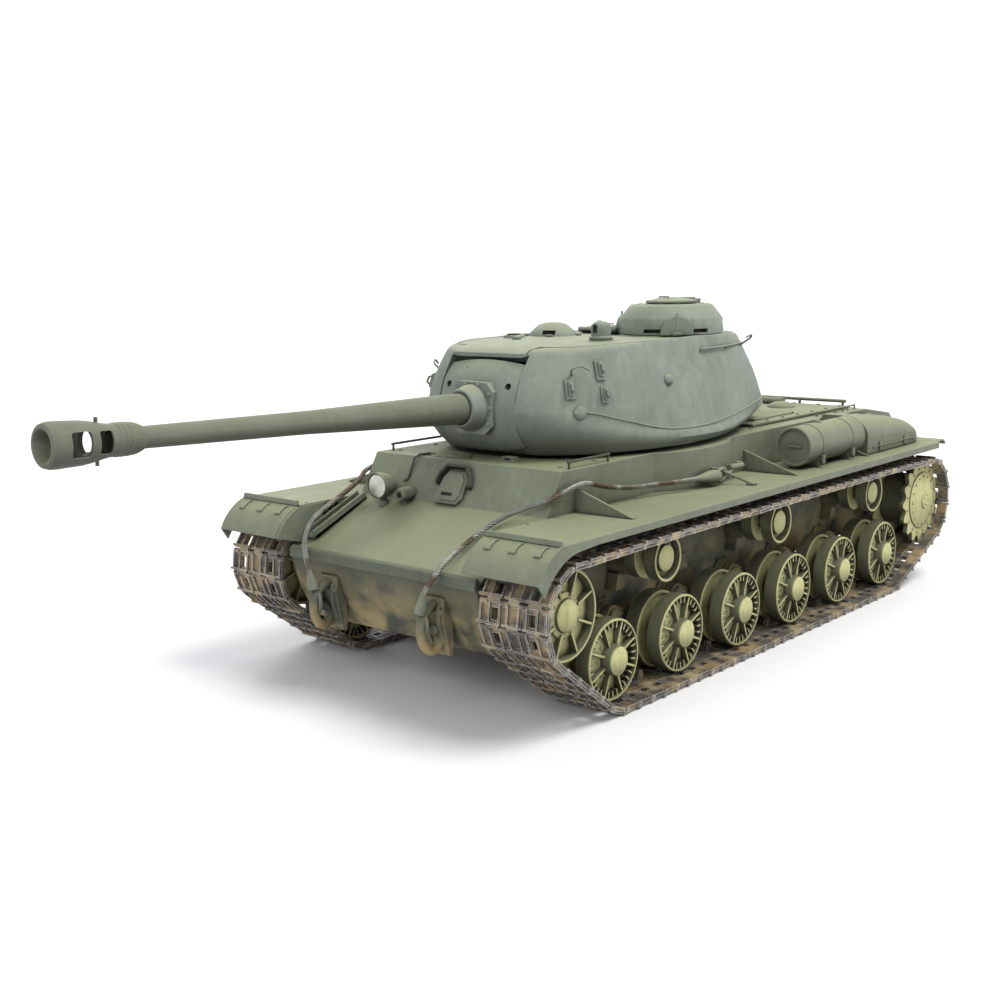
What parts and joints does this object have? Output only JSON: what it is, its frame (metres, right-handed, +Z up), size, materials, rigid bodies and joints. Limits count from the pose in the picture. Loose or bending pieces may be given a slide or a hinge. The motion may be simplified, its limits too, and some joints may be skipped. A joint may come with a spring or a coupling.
{
  "type": "rc tank",
  "caption": "Remote-control heavy tank with a turning turret, elevating and recoiling gun, opening hatches, sprung road wheels and driven tracks.",
  "frame": {"origin": "on the ground, under the middle of the whole tank's box, gun included", "axes": "+X towards the tank's left, +Y towards its tail, +Z up"},
  "size_m": [0.2038, 0.5722, 0.1779],
  "materials": {
    "green_paint": "matt grey-green paint with a darker wash in the corners",
    "wheel_paint": "matt yellow-green paint under dust",
    "track_metal": "grey cast metal with worn edges, rust and ochre dust",
    "cable_steel": "twisted wire, dull steel",
    "motor_metal": "plain turned metal",
    "battery_wrap": "shrink sleeve",
    "board_green": "lacquered board"
  },
  "bodies": {
    "hull": {"lower_hull": "green_paint", "upper_hull": "green_paint", "engine_deck": "green_paint", "headlight": "green_paint", "fuel_drum_left": "green_paint", "fuel_drum_right": "green_paint", "fender_bin_left": "green_paint", "fender_bin_right": "green_paint", "tow_cable_left": "cable_steel", "tow_cable_right": "cable_steel", "track_left": "track_metal", "track_right": "track_metal", "drive_unit_left": "motor_metal", "drive_unit_right": "motor_metal", "battery": "battery_wrap", "control_board": "board_green", "traverse_motor": "motor_metal"},
    "turret": {"turret_shell": "green_paint", "turret_ring": "motor_metal", "cupola": "green_paint"},
    "gun": {"mantlet": "green_paint"},
    "barrel": {"gun_barrel": "green_paint", "muzzle_brake": "green_paint"},
    "cupola_lid": {"cupola_hatch": "green_paint"},
    "loader_lid": {"loader_hatch": "green_paint"},
    "periscope": {"gunner_periscope": "green_paint"},
    "drive_sprocket_left": {"sprocket_left": "wheel_paint"},
    "idler_wheel_left": {"idler_left": "wheel_paint"},
    "roller_left_1": {"return_roller_left_1": "wheel_paint"},
    "roller_left_2": {"return_roller_left_2": "wheel_paint"},
    "roller_left_3": {"return_roller_left_3": "wheel_paint"},
    "arm_left_1": {"swing_arm_left_1": "green_paint"},
    "wheel_left_1": {"road_wheel_left_1": "wheel_paint"},
    "arm_left_2": {"swing_arm_left_2": "green_paint"},
    "wheel_left_2": {"road_wheel_left_2": "wheel_paint"},
    "arm_left_3": {"swing_arm_left_3": "green_paint"},
    "wheel_left_3": {"road_wheel_left_3": "wheel_paint"},
    "arm_left_4": {"swing_arm_left_4": "green_paint"},
    "wheel_left_4": {"road_wheel_left_4": "wheel_paint"},
    "arm_left_5": {"swing_arm_left_5": "green_paint"},
    "wheel_left_5": {"road_wheel_left_5": "wheel_paint"},
    "arm_left_6": {"swing_arm_left_6": "green_paint"},
    "wheel_left_6": {"road_wheel_left_6": "wheel_paint"},
    "drive_sprocket_right": {"sprocket_right": "wheel_paint"},
    "idler_wheel_right": {"idler_right": "wheel_paint"},
    "roller_right_1": {"return_roller_right_1": "wheel_paint"},
    "roller_right_2": {"return_roller_right_2": "wheel_paint"},
    "roller_right_3": {"return_roller_right_3": "wheel_paint"},
    "arm_right_1": {"swing_arm_right_1": "green_paint"},
    "wheel_right_1": {"road_wheel_right_1": "wheel_paint"},
    "arm_right_2": {"swing_arm_right_2": "green_paint"},
    "wheel_right_2": {"road_wheel_right_2": "wheel_paint"},
    "arm_right_3": {"swing_arm_right_3": "green_paint"},
    "wheel_right_3": {"road_wheel_right_3": "wheel_paint"},
    "arm_right_4": {"swing_arm_right_4": "green_paint"},
    "wheel_right_4": {"road_wheel_right_4": "wheel_paint"},
    "arm_right_5": {"swing_arm_right_5": "green_paint"},
    "wheel_right_5": {"road_wheel_right_5": "wheel_paint"},
    "arm_right_6": {"swing_arm_right_6": "green_paint"},
    "wheel_right_6": {"road_wheel_right_6": "wheel_paint"}
  },
  "joints": [
    {"name": "turret_traverse", "type": "hinge", "parent": "hull", "child": "turret", "pos_m": [0, 0.04407, 0.106], "axis": [0, 0, 1], "continuous": true},
    {"name": "gun_elevation", "type": "hinge", "parent": "turret", "child": "gun", "pos_m": [0, -0.02893, 0.12804], "axis": [-1, 0, 0], "range_deg": [-5, 8]},
    {"name": "barrel_recoil", "type": "slide", "parent": "gun", "child": "barrel", "axis": [0, 0.9995, -0.0314], "range_m": [0, 0.008], "stiffness_N_per_m": 60, "springref_m": -0.01},
    {"name": "cupola_hatch_hinge", "type": "hinge", "parent": "turret", "child": "cupola_lid", "pos_m": [0.025, 0.09107, 0.17635], "axis": [-1, 0, 0], "range_deg": [0, 95]},
    {"name": "loader_hatch_hinge", "type": "hinge", "parent": "turret", "child": "loader_lid", "pos_m": [-0.024, 0.06367, 0.16055], "axis": [1, 0, 0], "range_deg": [0, 95]},
    {"name": "periscope_turn", "type": "hinge", "parent": "turret", "child": "periscope", "pos_m": [0.029, 0.00607, 0.15895], "axis": [0, 0, 1], "continuous": true},
    {"name": "sprocket_spin_left", "type": "hinge", "parent": "hull", "child": "drive_sprocket_left", "pos_m": [0.08263, 0.25207, 0.048], "axis": [1, 0, 0], "continuous": true},
    {"name": "idler_spin_left", "type": "hinge", "parent": "hull", "child": "idler_wheel_left", "pos_m": [0.08263, -0.10493, 0.0505], "axis": [1, 0, 0], "continuous": true},
    {"name": "roller_spin_left_1", "type": "hinge", "parent": "hull", "child": "roller_left_1", "pos_m": [0.08263, -0.02693, 0.061], "axis": [1, 0, 0], "continuous": true},
    {"name": "roller_spin_left_2", "type": "hinge", "parent": "hull", "child": "roller_left_2", "pos_m": [0.08263, 0.07957, 0.061], "axis": [1, 0, 0], "continuous": true},
    {"name": "roller_spin_left_3", "type": "hinge", "parent": "hull", "child": "roller_left_3", "pos_m": [0.08263, 0.19007, 0.061], "axis": [1, 0, 0], "continuous": true},
    {"name": "arm_swing_left_1", "type": "hinge", "parent": "hull", "child": "arm_left_1", "pos_m": [0.067, -0.09349, 0.0321], "axis": [1, 0, 0], "range_deg": [0, 14], "stiffness_Nm_per_rad": 0.3, "springref_deg": -5.73},
    {"name": "wheel_spin_left_1", "type": "hinge", "parent": "arm_left_1", "child": "wheel_left_1", "pos_m": [0.08263, -0.07149, 0.0231], "axis": [1, 0, 0], "continuous": true},
    {"name": "arm_swing_left_2", "type": "hinge", "parent": "hull", "child": "arm_left_2", "pos_m": [0.067, -0.03886, 0.0321], "axis": [1, 0, 0], "range_deg": [0, 14], "stiffness_Nm_per_rad": 0.3, "springref_deg": -5.73},
    {"name": "wheel_spin_left_2", "type": "hinge", "parent": "arm_left_2", "child": "wheel_left_2", "pos_m": [0.08263, -0.01686, 0.0231], "axis": [1, 0, 0], "continuous": true},
    {"name": "arm_swing_left_3", "type": "hinge", "parent": "hull", "child": "arm_left_3", "pos_m": [0.067, 0.01576, 0.0321], "axis": [1, 0, 0], "range_deg": [0, 14], "stiffness_Nm_per_rad": 0.3, "springref_deg": -5.73},
    {"name": "wheel_spin_left_3", "type": "hinge", "parent": "arm_left_3", "child": "wheel_left_3", "pos_m": [0.08263, 0.03776, 0.0231], "axis": [1, 0, 0], "continuous": true},
    {"name": "arm_swing_left_4", "type": "hinge", "parent": "hull", "child": "arm_left_4", "pos_m": [0.067, 0.07039, 0.0321], "axis": [1, 0, 0], "range_deg": [0, 14], "stiffness_Nm_per_rad": 0.3, "springref_deg": -5.73},
    {"name": "wheel_spin_left_4", "type": "hinge", "parent": "arm_left_4", "child": "wheel_left_4", "pos_m": [0.08263, 0.09239, 0.0231], "axis": [1, 0, 0], "continuous": true},
    {"name": "arm_swing_left_5", "type": "hinge", "parent": "hull", "child": "arm_left_5", "pos_m": [0.067, 0.12501, 0.0321], "axis": [1, 0, 0], "range_deg": [0, 14], "stiffness_Nm_per_rad": 0.3, "springref_deg": -5.73},
    {"name": "wheel_spin_left_5", "type": "hinge", "parent": "arm_left_5", "child": "wheel_left_5", "pos_m": [0.08263, 0.14701, 0.0231], "axis": [1, 0, 0], "continuous": true},
    {"name": "arm_swing_left_6", "type": "hinge", "parent": "hull", "child": "arm_left_6", "pos_m": [0.067, 0.17964, 0.0321], "axis": [1, 0, 0], "range_deg": [0, 14], "stiffness_Nm_per_rad": 0.3, "springref_deg": -5.73},
    {"name": "wheel_spin_left_6", "type": "hinge", "parent": "arm_left_6", "child": "wheel_left_6", "pos_m": [0.08263, 0.20164, 0.0231], "axis": [1, 0, 0], "continuous": true},
    {"name": "sprocket_spin_right", "type": "hinge", "parent": "hull", "child": "drive_sprocket_right", "pos_m": [-0.08263, 0.25207, 0.048], "axis": [1, 0, 0], "continuous": true},
    {"name": "idler_spin_right", "type": "hinge", "parent": "hull", "child": "idler_wheel_right", "pos_m": [-0.08263, -0.10493, 0.0505], "axis": [1, 0, 0], "continuous": true},
    {"name": "roller_spin_right_1", "type": "hinge", "parent": "hull", "child": "roller_right_1", "pos_m": [-0.08263, -0.02693, 0.061], "axis": [1, 0, 0], "continuous": true},
    {"name": "roller_spin_right_2", "type": "hinge", "parent": "hull", "child": "roller_right_2", "pos_m": [-0.08263, 0.07957, 0.061], "axis": [1, 0, 0], "continuous": true},
    {"name": "roller_spin_right_3", "type": "hinge", "parent": "hull", "child": "roller_right_3", "pos_m": [-0.08263, 0.19007, 0.061], "axis": [1, 0, 0], "continuous": true},
    {"name": "arm_swing_right_1", "type": "hinge", "parent": "hull", "child": "arm_right_1", "pos_m": [-0.067, -0.09349, 0.0321], "axis": [1, 0, 0], "range_deg": [0, 14], "stiffness_Nm_per_rad": 0.3, "springref_deg": -5.73},
    {"name": "wheel_spin_right_1", "type": "hinge", "parent": "arm_right_1", "child": "wheel_right_1", "pos_m": [-0.08263, -0.07149, 0.0231], "axis": [1, 0, 0], "continuous": true},
    {"name": "arm_swing_right_2", "type": "hinge", "parent": "hull", "child": "arm_right_2", "pos_m": [-0.067, -0.03886, 0.0321], "axis": [1, 0, 0], "range_deg": [0, 14], "stiffness_Nm_per_rad": 0.3, "springref_deg": -5.73},
    {"name": "wheel_spin_right_2", "type": "hinge", "parent": "arm_right_2", "child": "wheel_right_2", "pos_m": [-0.08263, -0.01686, 0.0231], "axis": [1, 0, 0], "continuous": true},
    {"name": "arm_swing_right_3", "type": "hinge", "parent": "hull", "child": "arm_right_3", "pos_m": [-0.067, 0.01576, 0.0321], "axis": [1, 0, 0], "range_deg": [0, 14], "stiffness_Nm_per_rad": 0.3, "springref_deg": -5.73},
    {"name": "wheel_spin_right_3", "type": "hinge", "parent": "arm_right_3", "child": "wheel_right_3", "pos_m": [-0.08263, 0.03776, 0.0231], "axis": [1, 0, 0], "continuous": true},
    {"name": "arm_swing_right_4", "type": "hinge", "parent": "hull", "child": "arm_right_4", "pos_m": [-0.067, 0.07039, 0.0321], "axis": [1, 0, 0], "range_deg": [0, 14], "stiffness_Nm_per_rad": 0.3, "springref_deg": -5.73},
    {"name": "wheel_spin_right_4", "type": "hinge", "parent": "arm_right_4", "child": "wheel_right_4", "pos_m": [-0.08263, 0.09239, 0.0231], "axis": [1, 0, 0], "continuous": true},
    {"name": "arm_swing_right_5", "type": "hinge", "parent": "hull", "child": "arm_right_5", "pos_m": [-0.067, 0.12501, 0.0321], "axis": [1, 0, 0], "range_deg": [0, 14], "stiffness_Nm_per_rad": 0.3, "springref_deg": -5.73},
    {"name": "wheel_spin_right_5", "type": "hinge", "parent": "arm_right_5", "child": "wheel_right_5", "pos_m": [-0.08263, 0.14701, 0.0231], "axis": [1, 0, 0], "continuous": true},
    {"name": "arm_swing_right_6", "type": "hinge", "parent": "hull", "child": "arm_right_6", "pos_m": [-0.067, 0.17964, 0.0321], "axis": [1, 0, 0], "range_deg": [0, 14], "stiffness_Nm_per_rad": 0.3, "springref_deg": -5.73},
    {"name": "wheel_spin_right_6", "type": "hinge", "parent": "arm_right_6", "child": "wheel_right_6", "pos_m": [-0.08263, 0.20164, 0.0231], "axis": [1, 0, 0], "continuous": true}
  ],
  "couplings": [
    {"joint": "idler_spin_left", "follows": "sprocket_spin_left", "ratio": 1.2422},
    {"joint": "roller_spin_left_1", "follows": "sprocket_spin_left", "ratio": 2.315},
    {"joint": "roller_spin_left_2", "follows": "sprocket_spin_left", "ratio": 2.315},
    {"joint": "roller_spin_left_3", "follows": "sprocket_spin_left", "ratio": 2.315},
    {"joint": "wheel_spin_left_1", "follows": "sprocket_spin_left", "ratio": 1.3581},
    {"joint": "wheel_spin_left_2", "follows": "sprocket_spin_left", "ratio": 1.3581},
    {"joint": "wheel_spin_left_3", "follows": "sprocket_spin_left", "ratio": 1.3581},
    {"joint": "wheel_spin_left_4", "follows": "sprocket_spin_left", "ratio": 1.3581},
    {"joint": "wheel_spin_left_5", "follows": "sprocket_spin_left", "ratio": 1.3581},
    {"joint": "wheel_spin_left_6", "follows": "sprocket_spin_left", "ratio": 1.3581},
    {"joint": "idler_spin_right", "follows": "sprocket_spin_right", "ratio": 1.2422},
    {"joint": "roller_spin_right_1", "follows": "sprocket_spin_right", "ratio": 2.315},
    {"joint": "roller_spin_right_2", "follows": "sprocket_spin_right", "ratio": 2.315},
    {"joint": "roller_spin_right_3", "follows": "sprocket_spin_right", "ratio": 2.315},
    {"joint": "wheel_spin_right_1", "follows": "sprocket_spin_right", "ratio": 1.3581},
    {"joint": "wheel_spin_right_2", "follows": "sprocket_spin_right", "ratio": 1.3581},
    {"joint": "wheel_spin_right_3", "follows": "sprocket_spin_right", "ratio": 1.3581},
    {"joint": "wheel_spin_right_4", "follows": "sprocket_spin_right", "ratio": 1.3581},
    {"joint": "wheel_spin_right_5", "follows": "sprocket_spin_right", "ratio": 1.3581},
    {"joint": "wheel_spin_right_6", "follows": "sprocket_spin_right", "ratio": 1.3581}
  ]
}
